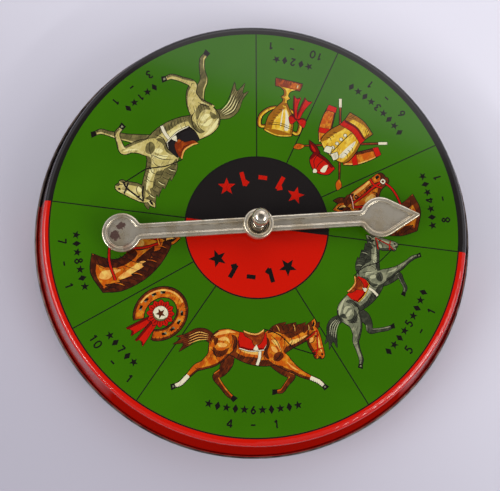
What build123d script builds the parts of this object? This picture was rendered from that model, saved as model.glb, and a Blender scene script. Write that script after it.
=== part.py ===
from build123d import *

import os
from math import asin, atan2, cos, hypot, sin

# A tin spinner for a table-top race game. A shallow drum of tinplate, open below, has a flat
# dial on top, a rounded shoulder, a flared wall and an edge curled outward into a foot bead.
# A pressed pointer turns over the dial on an upright spindle. The spindle runs in two eyelet
# bushes, one in the dial and one in a cup under it, and a turned finial with a ball for a head
# screws down on its tip to clamp the pointer and to serve as the twirling knob.
# Millimetres, +Z up. The origin is the centre of the drum on the surface it stands on, and -Y
# is the side that faces the player.

# ---- driving dimensions ----

# drum
tin_thickness = 0.4
drum_height = 22.5  # foot to dial
base_radius = 115.0  # outside of the foot bead
dial_corner_radius = 105.2  # where the dial and the wall would meet without the shoulder
shoulder_radius = 3.0
bead_radius = 1.05
bead_flat = 0.08  # what standing has pressed off the bead's underside
bead_turn = 268.0  # degrees that the edge is curled through

# cup under the dial that holds the lower bush
cup_brim_radius = 17.0
cup_mouth_radius = 10.8
cup_floor_radius = 9.6
cup_depth = 11.0
cup_bend_radius = 1.4

# eyelet bushes
bush_barrel_radius = 2.4
bush_flange_radius = 4.2
bush_flange_thickness = 0.6
bush_clinch_radius = 3.3
bush_clinch_thickness = 0.4
bush_edge_round = 0.2

# spindle
spindle_radius = 1.5
spindle_clearance = 0.05  # radial, everywhere the spindle passes through a hole
spindle_head_radius = 3.1
spindle_head_height = 1.4
spindle_head_round = 0.7
spindle_tip_radius = 1.0
spindle_tip_length = 7.2
tip_chamfer = 0.3
end_float = 0.2
shoulder_relief = 0.1  # the sleeve stands this much above the spindle's shoulder

# washers and sleeve
end_washer_radius = 3.9
end_washer_thickness = 0.5
thrust_washer_radius = 4.0
thrust_washer_thickness = 0.6
sleeve_radius = 3.2
sleeve_height = 3.8
sleeve_edge_chamfer = 0.3
lock_washer_radius = 4.1
lock_washer_thickness = 0.5
lock_washer_dish = 0.25

# pointer
pointer_rest_angle = 4.0  # degrees, counter-clockwise from +X
pointer_sheet = 0.5
pointer_height = 1.8
pointer_rim_width = 2.2
pointer_crown_round = 0.8
pointer_inner_round = 0.6
pointer_floor_round = 0.5
bar_width = 7.7
neck_round = 1.6
boss_radius = 7.3
boss_height = 5.0  # the pointer's underside to the boss's crest
boss_crest_width = 2.2
boss_crest_bend = 0.7
boss_floor_bend = 0.9
tail_radius = 9.45
tail_reach = 66.0  # spindle to the middle of the tail disc
head_radius = 10.0
head_reach = 60.4  # spindle to the middle of the head's round lobes
tip_reach = 80.1  # spindle to the end of the tip
tip_round = 0.9

# ball-headed knob
knob_base_radius = 3.75
knob_base_height = 1.1
knob_base_round = 0.4
knob_cove_radius = 2.1
knob_cove_height = 1.3
knob_bead_radius = 2.75
knob_bead_height = 1.5
knob_neck_radius = 1.9
knob_throat_radius = 1.55
knob_height = 23.3
ball_radius = 4.1
knob_bore_spare = 0.5

# ---- levels that follow ----

dial_underside = drum_height - tin_thickness
cup_floor_underside = dial_underside - cup_depth
cup_floor_top = cup_floor_underside + tin_thickness
bush_bore_radius = spindle_radius + spindle_clearance
face_bush_top = drum_height + bush_flange_thickness
cup_bush_bottom = cup_floor_underside - bush_flange_thickness
end_washer_top = cup_bush_bottom - end_float
spindle_head_top = end_washer_top - end_washer_thickness
sleeve_bottom = face_bush_top + thrust_washer_thickness
pointer_bottom = sleeve_bottom + sleeve_height
lock_washer_bottom = pointer_bottom + pointer_sheet
knob_bottom = lock_washer_bottom + lock_washer_thickness
spindle_shoulder = pointer_bottom - shoulder_relief
spindle_tip_top = knob_bottom + spindle_tip_length


# ---- drum ----

# The sheet is drawn by its middle line, in the plane of radius and height.
curl_radius = bead_radius - tin_thickness / 2
bead_centre_radius = base_radius - bead_radius
bead_centre_height = bead_radius - bead_flat
dial_middle = drum_height - tin_thickness / 2
wall_run = bead_centre_radius - dial_corner_radius
wall_drop = dial_middle - bead_centre_height
wall_flare = atan2(wall_run, wall_drop) - asin(curl_radius / hypot(wall_run, wall_drop))
wall_foot = (
    bead_centre_radius - curl_radius * cos(wall_flare),
    bead_centre_height - curl_radius * sin(wall_flare),
)

with BuildPart() as dial_pan:
    with BuildSketch(Plane.XZ):
        with BuildLine():
            pan_side = FilletPolyline(
                (bush_barrel_radius, dial_middle),
                (dial_corner_radius, dial_middle),
                wall_foot,
                radius=shoulder_radius - tin_thickness / 2,
            )
            JernArc(pan_side @ 1, pan_side % 1, curl_radius, bead_turn)
        trace(line_width=tin_thickness)
    revolve(axis=Axis.Z)
    split(bisect_by=Plane.XY, keep=Keep.TOP)
dial_pan.part.label = "dial_pan"


# ---- cup under the dial ----

cup_floor_middle = cup_floor_underside + tin_thickness / 2
cup_brim_middle = dial_underside - tin_thickness / 2

with BuildPart() as bearing_cup:
    with BuildSketch(Plane.XZ):
        with BuildLine():
            FilletPolyline(
                (bush_barrel_radius, cup_floor_middle),
                (cup_floor_radius, cup_floor_middle),
                (cup_mouth_radius, cup_brim_middle),
                (cup_brim_radius, cup_brim_middle),
                radius=cup_bend_radius,
            )
        trace(line_width=tin_thickness)
    revolve(axis=Axis.Z)
bearing_cup.part.label = "bearing_cup"


# ---- eyelet bushes ----


def eyelet(seat_height, label):
    """A flanged bush in a sheet whose flange side lies at seat_height, flange on +Z."""
    clinch_top = seat_height - tin_thickness
    with BuildPart() as bush:
        with BuildSketch(Plane.XZ):
            with BuildLine():
                Polyline(
                    (bush_bore_radius, clinch_top - bush_clinch_thickness),
                    (bush_clinch_radius, clinch_top - bush_clinch_thickness),
                    (bush_clinch_radius, clinch_top),
                    (bush_barrel_radius, clinch_top),
                    (bush_barrel_radius, seat_height),
                    (bush_flange_radius, seat_height),
                    (bush_flange_radius, seat_height + bush_flange_thickness),
                    (bush_bore_radius, seat_height + bush_flange_thickness),
                    close=True,
                )
            make_face()
        revolve(axis=Axis.Z)
        rims = bush.edges().filter_by(GeomType.CIRCLE).sort_by(SortBy.RADIUS)
        fillet(rims[-2:].sort_by(Axis.Z)[-1], bush_edge_round)
    bush.part.label = label
    return bush


face_bush = eyelet(drum_height, "face_bush")

# The lower bush is the same eyelet turned over, with its flange under the cup's floor.
with BuildPart() as cup_bush:
    add(eyelet(-cup_floor_underside, "cup_bush").part.mirror(Plane.XY))
cup_bush.part.label = "cup_bush"


# ---- spindle ----

with BuildPart() as spindle:
    with BuildSketch(Plane.XY.offset(spindle_head_top - spindle_head_height)):
        Circle(spindle_head_radius)
    extrude(amount=spindle_head_height)
    fillet(spindle.edges().sort_by(Axis.Z)[0], spindle_head_round)
    with BuildSketch(Plane.XY.offset(spindle_head_top)):
        Circle(spindle_radius)
    extrude(amount=spindle_shoulder - spindle_head_top)
    with BuildSketch(Plane.XY.offset(spindle_shoulder)):
        Circle(spindle_tip_radius)
    extrude(amount=spindle_tip_top - spindle_shoulder)
    chamfer(spindle.edges().sort_by(Axis.Z)[-1], tip_chamfer)
spindle.part.label = "spindle"


# ---- washers and sleeve ----


def ring(bottom, height, outer_radius, inner_radius, label):
    """A flat ring on the spindle's axis."""
    with BuildPart() as washer:
        with BuildSketch(Plane.XY.offset(bottom)):
            Circle(outer_radius)
            Circle(inner_radius, mode=Mode.SUBTRACT)
        extrude(amount=height)
    washer.part.label = label
    return washer


end_washer = ring(
    spindle_head_top, end_washer_thickness, end_washer_radius, bush_bore_radius, "end_washer"
)
thrust_washer = ring(
    face_bush_top, thrust_washer_thickness, thrust_washer_radius, bush_bore_radius, "thrust_washer"
)

with BuildPart() as spacer_sleeve:
    with BuildSketch(Plane.XY.offset(sleeve_bottom)):
        Circle(sleeve_radius)
        Circle(bush_bore_radius, mode=Mode.SUBTRACT)
    extrude(amount=sleeve_height)
    sleeve_rims = spacer_sleeve.edges().filter_by(GeomType.CIRCLE).sort_by(SortBy.RADIUS)[-2:]
    chamfer(sleeve_rims, sleeve_edge_chamfer)
spacer_sleeve.part.label = "spacer_sleeve"

# The lock washer is slightly conical on top, so that it springs against the knob.
tip_hole_radius = spindle_tip_radius + spindle_clearance

with BuildPart() as lock_washer:
    with BuildSketch(Plane.XZ):
        with BuildLine():
            Polyline(
                (tip_hole_radius, lock_washer_bottom),
                (lock_washer_radius, lock_washer_bottom),
                (lock_washer_radius, knob_bottom - lock_washer_dish),
                (knob_base_radius, knob_bottom),
                (tip_hole_radius, knob_bottom),
                close=True,
            )
        make_face()
    revolve(axis=Axis.Z)
lock_washer.part.label = "lock_washer"


# ---- pointer ----

# The flat outline: a tail disc, a straight bar, a round boss over the spindle and a head with
# two round lobes drawn out by tangents to a blunt tip. All of it has one rim height, and the
# boss is drawn up higher, as a cup with a rolled crest that the knob stands in.
tip_centre = tip_reach - tip_round
flank_angle = asin((head_radius - tip_round) / (tip_centre - head_reach))
flank_x = sin(flank_angle)
flank_y = cos(flank_angle)
lobe_point = (head_reach + head_radius * flank_x, head_radius * flank_y)
tip_point = (tip_centre + tip_round * flank_x, tip_round * flank_y)

with BuildSketch() as pointer_outline:
    with Locations((-tail_reach, 0)):
        Circle(tail_radius)
    with Locations(((head_reach - tail_reach) / 2, 0)):
        Rectangle(tail_reach + head_reach, bar_width)
    Circle(boss_radius - pointer_sheet / 2)
    with BuildLine():
        flank = Line(lobe_point, tip_point)
        ThreePointArc(tip_point, (tip_reach, 0), (tip_point[0], -tip_point[1]))
        Line((tip_point[0], -tip_point[1]), (lobe_point[0], -lobe_point[1]))
        ThreePointArc(
            (lobe_point[0], -lobe_point[1]), (head_reach - head_radius, 0), lobe_point
        )
    make_face()
    on_bar_edge = [
        corner
        for corner in pointer_outline.vertices()
        if abs(abs(corner.Y) - bar_width / 2) < 0.01
    ]
    fillet(on_bar_edge, neck_round)

pointer_plane = Plane.XY.rotated((0, 0, pointer_rest_angle)).offset(pointer_bottom)
groove_inset = pointer_rim_width - pointer_sheet

# the middle line of the boss's sheet
boss_floor_middle = pointer_bottom + pointer_sheet / 2
boss_crest_middle = pointer_bottom + boss_height - pointer_sheet / 2
boss_outer_middle = boss_radius - pointer_sheet / 2
boss_inner_middle = boss_radius - boss_crest_width + pointer_sheet / 2
boss_wall_overlap = 0.7 * pointer_sheet

with BuildPart() as pointer:
    # the blank, as high as its raised rim
    with BuildSketch(pointer_plane):
        add(pointer_outline.sketch)
    extrude(amount=pointer_height)
    outline_top = pointer.faces().sort_by(Axis.Z)[-1]
    fillet(outline_top.edges(), pointer_crown_round)
    # the sunken floor inside the rim
    with BuildSketch(pointer_plane.offset(pointer_sheet)):
        offset(pointer_outline.sketch, amount=-pointer_rim_width)
    extrude(amount=pointer_height - pointer_sheet, mode=Mode.SUBTRACT)
    rim_top = pointer.faces().sort_by(Axis.Z)[-1]
    sunken_floor = pointer.faces().filter_by(Axis.Z).sort_by(Axis.Z)[1]
    fillet(rim_top.inner_wires().edges(), pointer_inner_round)
    fillet(sunken_floor.outer_wire().edges(), pointer_floor_round)
    # the rim's hollow underside
    with BuildSketch(pointer_plane):
        offset(pointer_outline.sketch, amount=-pointer_sheet)
        offset(pointer_outline.sketch, amount=-groove_inset, mode=Mode.SUBTRACT)
    extrude(amount=pointer_height - pointer_sheet, mode=Mode.SUBTRACT)
    # the boss, set in a round opening that ends inside its outer wall
    with BuildSketch(pointer_plane):
        Circle(boss_radius - boss_wall_overlap)
    extrude(amount=pointer_height, mode=Mode.SUBTRACT)
    with BuildSketch(Plane.XZ):
        with BuildLine():
            FilletPolyline(
                (tip_hole_radius, boss_floor_middle),
                (boss_inner_middle, boss_floor_middle),
                (boss_inner_middle, boss_crest_middle),
                (boss_outer_middle, boss_crest_middle),
                (boss_outer_middle, pointer_bottom),
                radius=[boss_floor_bend, boss_crest_bend, boss_crest_bend],
            )
        trace(line_width=pointer_sheet)
    revolve(axis=Axis.Z)
pointer.part.label = "pointer"


# ---- ball-headed knob ----

base_top = knob_bottom + knob_base_height
cove_top = base_top + knob_cove_height
bead_top = cove_top + knob_bead_height
ball_centre = knob_bottom + knob_height - ball_radius
throat_height = ball_centre - (ball_radius**2 - knob_throat_radius**2) ** 0.5
knob_bore_depth = spindle_tip_length + knob_bore_spare

with BuildPart() as ball_knob:
    with BuildSketch(Plane.XZ):
        with BuildLine():
            Polyline(
                (0, knob_bottom + knob_height),
                (0, knob_bottom),
                (knob_base_radius, knob_bottom),
                (knob_base_radius, base_top),
                (knob_cove_radius, base_top),
            )
            Line((knob_cove_radius, base_top), (knob_cove_radius, cove_top))
            ThreePointArc(
                (knob_cove_radius, cove_top),
                (knob_bead_radius, (cove_top + bead_top) / 2),
                (knob_neck_radius, bead_top),
            )
            Line((knob_neck_radius, bead_top), (knob_throat_radius, throat_height))
            ThreePointArc(
                (knob_throat_radius, throat_height),
                (ball_radius, ball_centre),
                (0, knob_bottom + knob_height),
            )
        make_face()
    revolve(axis=Axis.Z)
    base_rims = ball_knob.edges().filter_by(GeomType.CIRCLE).sort_by(SortBy.RADIUS)[-2:]
    fillet(base_rims, knob_base_round)
    with BuildSketch(Plane.XY.offset(knob_bottom)):
        Circle(spindle_tip_radius)
    extrude(amount=knob_bore_depth, mode=Mode.SUBTRACT)
ball_knob.part.label = "ball_knob"


# ---- written pieces ----

pieces = [
    dial_pan,
    bearing_cup,
    face_bush,
    cup_bush,
    spindle,
    end_washer,
    thrust_washer,
    spacer_sleeve,
    pointer,
    lock_washer,
    ball_knob,
]
os.makedirs("parts", exist_ok=True)
for piece in pieces:
    export_step(piece.part, f"parts/{piece.part.label}.step")
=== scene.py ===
from math import cos, degrees, hypot, pi, radians, sin

import bmesh
import bpy
import numpy as np
from mathutils import Matrix, Vector
from mathutils.geometry import delaunay_2d_cdt


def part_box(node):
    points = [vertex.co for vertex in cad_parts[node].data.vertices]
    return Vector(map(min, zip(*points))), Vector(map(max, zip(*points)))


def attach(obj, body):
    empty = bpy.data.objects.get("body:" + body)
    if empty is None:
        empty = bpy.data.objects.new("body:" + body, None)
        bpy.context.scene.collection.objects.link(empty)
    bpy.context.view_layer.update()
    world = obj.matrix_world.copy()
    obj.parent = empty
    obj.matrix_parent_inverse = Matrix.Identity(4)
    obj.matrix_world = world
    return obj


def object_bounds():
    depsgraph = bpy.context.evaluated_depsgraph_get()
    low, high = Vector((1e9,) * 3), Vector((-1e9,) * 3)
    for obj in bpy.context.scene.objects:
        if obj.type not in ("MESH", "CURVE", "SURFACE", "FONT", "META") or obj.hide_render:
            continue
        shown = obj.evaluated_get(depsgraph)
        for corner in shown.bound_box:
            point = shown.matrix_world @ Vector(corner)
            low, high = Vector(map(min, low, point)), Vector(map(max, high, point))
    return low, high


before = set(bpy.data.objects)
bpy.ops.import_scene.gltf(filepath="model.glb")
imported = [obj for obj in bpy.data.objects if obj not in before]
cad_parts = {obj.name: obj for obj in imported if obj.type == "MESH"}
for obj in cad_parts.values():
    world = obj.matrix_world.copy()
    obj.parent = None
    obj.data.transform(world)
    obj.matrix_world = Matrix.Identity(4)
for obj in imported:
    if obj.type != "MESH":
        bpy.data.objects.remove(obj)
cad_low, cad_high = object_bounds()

# Looks of a tin race game spinner: the printed dial, the plated pointer and its knob.
# The script works in metres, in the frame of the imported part. Sizes named in millimetres are
# multiplied by MM.

MM = 0.001

dial_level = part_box("dial_pan")[1].z

# ---- print on the dial: driving sizes ----

PRINT_CENTRE = (-0.3 * MM, -0.1 * MM)  # the print isn't quite true to the pressing
GREEN_RADIUS = 101.4 * MM
BORDER_WIDTH = 0.7 * MM  # the black line round the green
HUB_RADIUS = 36.0 * MM
HUB_LINE = 0.75 * MM  # the black line inside the hub's edge
LINE_WIDTH = 0.55 * MM
SECTOR_LINES = (173.3, 90.2, 65.3, 25.2, -6.7, -58.2, -124.3, -150.4)  # degrees from +X
SPLIT_ANGLE = -6.7  # the diameter between the black half and the red half of ring and hub
PRINT_EDGE = 0.06 * MM  # half of the soft step at the edge of an ink
PRINT_END = (113.6 * MM, 114.0 * MM)  # where the print stops on the foot bead
TARNISH_FROM = (111.5 * MM, 112.5 * MM)  # bare tin is plain within this radius and tarnished beyond it
GLOSS = 0.45  # specular level of the varnish
SHEEN_ROUGHNESS = 0.14  # of the varnish
WALL_ROUGHNESS = 0.4  # of the wall, where it is rubbed dull
TIN_ROUGHNESS = 0.45
TIN_METALLIC = 0.7


# ---- shader fields: numbers that a material's nodes work out at each point ----


class Field:
    """A number worked out at each point of a surface, for sums in a material's node tree."""

    def __init__(self, tree, socket):
        self.tree = tree
        self.socket = socket

    def math(self, operation, *others):
        node = self.tree.nodes.new("ShaderNodeMath")
        node.operation = operation
        for index, value in enumerate((self, *others)):
            feed(self.tree, value, node.inputs[index])
        return Field(self.tree, node.outputs[0])

    def __add__(self, other):
        return self.math("ADD", other)

    def __sub__(self, other):
        return self.math("SUBTRACT", other)

    def __rsub__(self, other):
        return (self * -1.0) + other

    def __mul__(self, other):
        return self.math("MULTIPLY", other)

    def __abs__(self):
        return self.math("ABSOLUTE")

    def root(self):
        return self.math("SQRT")

    def least(self, other):
        return self.math("MINIMUM", other)

    def most(self, other):
        return self.math("MAXIMUM", other)

    def rise(self, low, high):
        """0 below low, 1 above high, and a smooth step between them."""
        node = self.tree.nodes.new("ShaderNodeMapRange")
        node.interpolation_type = "SMOOTHSTEP"
        feed(self.tree, self, node.inputs["Value"])
        node.inputs["From Min"].default_value = low
        node.inputs["From Max"].default_value = high
        return Field(self.tree, node.outputs["Result"])

    def fall(self, low, high):
        return 1.0 - self.rise(low, high)


def feed(tree, value, socket):
    """Gives a node's input a field or a plain number."""
    if isinstance(value, Field):
        tree.links.new(value.socket, socket)
    else:
        socket.default_value = value


def ink(red, green, blue):
    """A colour given as it shows on a screen, 0 to 255, as the linear values that shaders use."""
    shares = (red / 255, green / 255, blue / 255)
    linear = [s / 12.92 if s < 0.04045 else ((s + 0.055) / 1.055) ** 2.4 for s in shares]
    return (*linear, 1.0)


class Finish:
    """One material: its principled shader and the fields that colour it."""

    def __init__(self, name):
        self.material = bpy.data.materials.new(name)
        self.material.use_nodes = True
        self.tree = self.material.node_tree
        self.shader = self.tree.nodes["Principled BSDF"]
        coordinates = self.tree.nodes.new("ShaderNodeTexCoord")
        self.place = coordinates.outputs["Object"]

    def axes(self):
        """The point's x, y and z in metres."""
        node = self.tree.nodes.new("ShaderNodeSeparateXYZ")
        self.tree.links.new(self.place, node.inputs[0])
        return [Field(self.tree, output) for output in node.outputs]

    def slope(self):
        """The surface normal's three parts."""
        geometry = self.tree.nodes.new("ShaderNodeNewGeometry")
        node = self.tree.nodes.new("ShaderNodeSeparateXYZ")
        self.tree.links.new(geometry.outputs["Normal"], node.inputs[0])
        return [Field(self.tree, output) for output in node.outputs]

    def stretched(self, x=1.0, y=1.0, z=1.0, turn=0.0):
        """Coordinates for a pattern drawn out along each axis, the whole turned about Z in degrees."""
        node = self.tree.nodes.new("ShaderNodeMapping")
        node.vector_type = "TEXTURE"
        node.inputs["Scale"].default_value = (x, y, z)
        node.inputs["Rotation"].default_value = (0, 0, radians(turn))
        self.tree.links.new(self.place, node.inputs["Vector"])
        return node.outputs["Vector"]

    def spot(self, x, y, radius, ragged=0.6):
        """1 inside a ragged-edged spot seen from above, 0 outside it."""
        east, north, _ = self.axes()
        east = east - x
        north = north - y
        reach = (east * east + north * north).root()
        torn = self.noise(radius * 0.8, detail=6.0, roughness=0.6, seed=x * 1000) - 0.5
        return (reach + torn * radius * ragged * 2).fall(radius * 0.75, radius)

    def noise(self, size, detail=3.0, roughness=0.5, seed=0.0, place=None):
        """Cloudy noise from 0 to 1 whose lumps are about size metres across."""
        node = self.tree.nodes.new("ShaderNodeTexNoise")
        node.noise_dimensions = "4D"
        node.inputs["W"].default_value = seed
        node.inputs["Scale"].default_value = 1.0 / size
        node.inputs["Detail"].default_value = detail
        node.inputs["Roughness"].default_value = roughness
        self.tree.links.new(place or self.place, node.inputs["Vector"])
        return Field(self.tree, node.outputs[0])

    def blend(self, share, first, second):
        """The first colour where share is 0 and the second where it is 1."""
        node = self.tree.nodes.new("ShaderNodeMix")
        node.data_type = "RGBA"
        feed(self.tree, share, node.inputs[0])
        for value, socket in ((first, node.inputs[6]), (second, node.inputs[7])):
            if isinstance(value, tuple):
                socket.default_value = value
            else:
                self.tree.links.new(value, socket)
        return node.outputs[2]

    def level(self, share, first, second):
        """The first number where share is 0 and the second where it is 1."""
        return share * (second - first) + first

    def colour(self, value):
        if isinstance(value, tuple):
            self.shader.inputs["Base Color"].default_value = value
        else:
            self.tree.links.new(value, self.shader.inputs["Base Color"])

    def set(self, name, value):
        feed(self.tree, value, self.shader.inputs[name])

    def bump(self, height, depth):
        """Relief whose height field is 0 to 1 and whose full depth is depth metres."""
        node = self.tree.nodes.new("ShaderNodeBump")
        node.inputs["Strength"].default_value = 1.0
        node.inputs["Distance"].default_value = depth
        feed(self.tree, height, node.inputs["Height"])
        self.tree.links.new(node.outputs["Normal"], self.shader.inputs["Normal"])


# ---- materials ----


POINTER_TURN = 4.0  # degrees, the pointer's rest direction
POINTER_FLOOR = 28.0 * MM  # level of the sunken floor
TAIL_REACH = -66.0  # millimetres from the spindle to the middle of the tail disc
TAIL_X = TAIL_REACH * cos(radians(POINTER_TURN)) * MM
TAIL_Y = TAIL_REACH * sin(radians(POINTER_TURN)) * MM
POINTER_METALLIC = 0.68
BALL_MIDDLE = 47.7 * MM
BALL_METALLIC = 0.85
BALL_ROUGHNESS = 0.12
LESS_METALLIC = -0.6  # added to metallic where rust, the grime with its painted shade, or brown covers the plating


def lacquer(finish):
    """The clear stoving varnish over the print."""
    finish.set("Specular IOR Level", GLOSS)
    finish.set("Roughness", SHEEN_ROUGHNESS)


def printed_tin():
    """Lithographed tinplate: the print and lacquer outside, bare tin inside and on the bead."""
    tin = Finish("printed_tin")
    x, y, z = tin.axes()
    normal_z = tin.slope()[2]
    reach = (x * x + y * y).root()
    x = x - PRINT_CENTRE[0]
    y = y - PRINT_CENTRE[1]
    radius = (x * x + y * y).root()
    angle = radians(SPLIT_ANGLE)
    above_split = (y * cos(angle) - x * sin(angle)).rise(-0.05 * MM, 0.05 * MM)

    green = tin.blend(
        tin.noise(45 * MM, detail=2.0, seed=3.0).rise(0.35, 0.65), ink(52, 105, 0), ink(56, 111, 1)
    )
    black = ink(31, 27, 26)
    red = ink(206, 20, 2)
    ring = tin.blend(above_split, red, black)
    edge = PRINT_EDGE
    on_green = radius.rise(HUB_RADIUS - edge, HUB_RADIUS + edge) * radius.fall(
        GREEN_RADIUS - edge, GREEN_RADIUS + edge
    )
    face = tin.blend(on_green, ring, green)

    half = LINE_WIDTH / 2
    border = GREEN_RADIUS + BORDER_WIDTH / 2
    lines = abs(radius - border).fall(BORDER_WIDTH / 2 - edge, BORDER_WIDTH / 2 + edge)
    hub_line = abs(radius - HUB_RADIUS + HUB_LINE / 2).fall(HUB_LINE / 2 - edge, HUB_LINE / 2 + edge)
    lines = lines.most(hub_line)
    for line in SECTOR_LINES:
        along = x * cos(radians(line)) + y * sin(radians(line))
        across = abs(y * cos(radians(line)) - x * sin(radians(line)))
        on_line = across.fall(half - edge, half + edge) * along.rise(0.0, 1 * MM)
        lines = lines.most(on_line * on_green)
    face = tin.blend(lines, face, ink(26, 24, 22))

    printed = normal_z.rise(-0.02, 0.02) * reach.fall(*PRINT_END)
    steep = normal_z.fall(0.45, 0.72)
    # painted shade: the print on the steep wall is darkened towards a deep red, as if the wall caught less
    # light
    face = tin.blend(steep * 0.5, face, ink(40, 6, 8))
    chips = tin.noise(5 * MM, detail=6.0, roughness=0.65, seed=21.0).rise(0.69, 0.70)
    chips = chips * radius.rise(GREEN_RADIUS, GREEN_RADIUS + 4 * MM)
    specks = tin.noise(1.6 * MM, detail=4.0, roughness=0.6, seed=5.0).rise(0.70, 0.74)
    face = tin.blend(specks * 0.35, face, ink(30, 50, 18))
    face = tin.blend(chips * 0.8, face, ink(70, 62, 56))
    tarnished = tin.blend(
        tin.noise(6 * MM, detail=6.0, seed=9.0).rise(0.4, 0.62), ink(104, 90, 82), ink(62, 48, 44)
    )
    plain = tin.blend(
        tin.noise(9 * MM, detail=7.0, roughness=0.65, seed=14.0).rise(0.42, 0.66),
        ink(158, 156, 150), ink(112, 98, 82)
    )
    bare = tin.blend(reach.rise(*TARNISH_FROM), plain, tarnished)
    tin.colour(tin.blend(printed, bare, face))
    tin.set("Metallic", tin.level(printed, TIN_METALLIC, 0.0))
    # the varnish is dull on the wall, and less far up where the wall faces left or right
    sideways = abs(tin.slope()[0]).rise(0.5, 0.85)
    wall = (normal_z + sideways * 0.25).fall(0.4, 0.56)
    varnish = tin.level(wall, SHEEN_ROUGHNESS, WALL_ROUGHNESS)
    tin.set("Roughness", tin.level(printed, TIN_ROUGHNESS, varnish))
    tin.set("Specular IOR Level", tin.level(wall, GLOSS, 0.0))
    tin.bump(tin.noise(1.5 * MM, detail=2.0, seed=17.0), 0.004 * MM)
    return tin.material


def metal(name, bright, dull, roughness, metallic=1.0, patch=4 * MM, grain=None, relief=0.006 * MM):
    """A worn metal: cloudy tarnish, fine specks, and a grain drawn out along one direction if given."""
    piece = Finish(name)
    tarnish = piece.noise(patch, detail=6.0, roughness=0.6, seed=2.0).rise(0.38, 0.68)
    specks = piece.noise(0.7 * MM, detail=3.0, seed=6.0).rise(0.64, 0.72)
    drawn_out = piece.stretched(*(grain or (1, 1, 1)), POINTER_TURN)
    grained = piece.noise(0.5 * MM, detail=3.0, seed=8.0, place=drawn_out)
    piece.tint = piece.blend((tarnish * 0.75 + specks * 0.35).least(1.0), bright, dull)
    piece.colour(piece.tint)
    piece.set("Metallic", metallic)
    piece.set("Roughness", tarnish * 0.12 + grained * 0.12 + (roughness - 0.06))
    piece.bump(grained * 0.7 + tarnish * 0.3, relief)
    return piece


def pointer_plate():
    """Nickel worn thin: brushed along the pointer, brown grime and painted shade in the hollows, rusted on
    the tail disc.
    """
    plate = metal(
        "nickel_plate", ink(224, 214, 192), ink(168, 150, 116), 0.2, POINTER_METALLIC,
        patch=7 * MM, grain=(14, 1, 1), relief=0.03 * MM
    )
    x, y, z = plate.axes()
    normal_z = plate.slope()[2]
    steep = (1.0 - normal_z).rise(0.03, 0.3)
    low = z.fall(POINTER_FLOOR + 0.3 * MM, POINTER_FLOOR + 1.3 * MM)
    # brown grime plus painted shade: darkens the steep walls low down where they meet the sunken floor
    grime_and_shade = steep * low * plate.noise(4 * MM, detail=5.0, seed=12.0).rise(0.25, 0.6)
    tint = plate.blend(grime_and_shade * 0.85, plate.tint, ink(84, 68, 46))
    rust = plate.spot(TAIL_X - 0.6 * MM, TAIL_Y + 3.4 * MM, 2.3 * MM, 1.1)
    rust = rust.most(plate.spot(TAIL_X - 3.2 * MM, TAIL_Y - 1.2 * MM, 2.5 * MM, 1.1))
    blush = plate.spot(TAIL_X + 3.2 * MM, TAIL_Y - 7.4 * MM, 2.6 * MM)
    blush = blush.most(plate.spot(TAIL_X - 4.6 * MM, TAIL_Y - 7.0 * MM, 1.8 * MM))
    tint = plate.blend(rust * 0.95, tint, ink(72, 46, 42))
    tint = plate.blend(blush * 0.4, tint, ink(150, 84, 50))
    plate.colour(tint)
    plate.set("Metallic", rust.most(grime_and_shade * 0.5) * LESS_METALLIC + POINTER_METALLIC)
    return plate.material


def knob_plate():
    """The knob's plating: bright, and brown and duller in a band below the ball's middle."""
    plate = metal(
        "knob_plate", ink(212, 202, 184), ink(180, 164, 136), BALL_ROUGHNESS, BALL_METALLIC, patch=3 * MM
    )
    z = plate.axes()[2]
    under = z.fall(BALL_MIDDLE - 0.8 * MM, BALL_MIDDLE + 1.8 * MM)
    under = under * z.rise(BALL_MIDDLE - 6 * MM, BALL_MIDDLE - 5 * MM)
    plate.colour(plate.blend(under * 0.85, plate.tint, ink(96, 82, 56)))
    plate.set("Roughness", under * 0.4 + BALL_ROUGHNESS)
    plate.set("Metallic", under * LESS_METALLIC + BALL_METALLIC)
    return plate.material


def fibre():
    """Vulcanised fibre: dull brick brown with a felted speckle."""
    washer = Finish("fibre")
    felt = washer.noise(0.5 * MM, detail=5.0, seed=3.0, place=washer.stretched(3, 1, 1))
    washer.colour(washer.blend(felt.rise(0.3, 0.7), ink(126, 58, 40), ink(82, 36, 28)))
    washer.set("Roughness", felt * 0.2 + 0.6)
    washer.bump(felt, 0.02 * MM)
    return washer.material


STEEL = metal("steel", ink(164, 162, 158), ink(104, 90, 76), 0.3, patch=2.5 * MM).material
BRASS = metal("brass", ink(198, 158, 86), ink(122, 88, 44), 0.28, patch=2.5 * MM).material
FINISHES = {
    "dial_pan": printed_tin(),
    "bearing_cup": metal("bare_tin", ink(176, 174, 170), ink(128, 122, 112), 0.32, patch=6 * MM).material,
    "face_bush": BRASS,
    "cup_bush": BRASS,
    "spindle": STEEL,
    "end_washer": STEEL,
    "spacer_sleeve": STEEL,
    "lock_washer": STEEL,
    "thrust_washer": fibre(),
    "pointer": pointer_plate(),
    "ball_knob": knob_plate(),
}

for node_name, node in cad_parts.items():
    node.data.materials.clear()
    node.data.materials.append(FINISHES[node_name])


# ---- drawing: flat shapes in millimetres, printed one over the other ----


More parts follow.
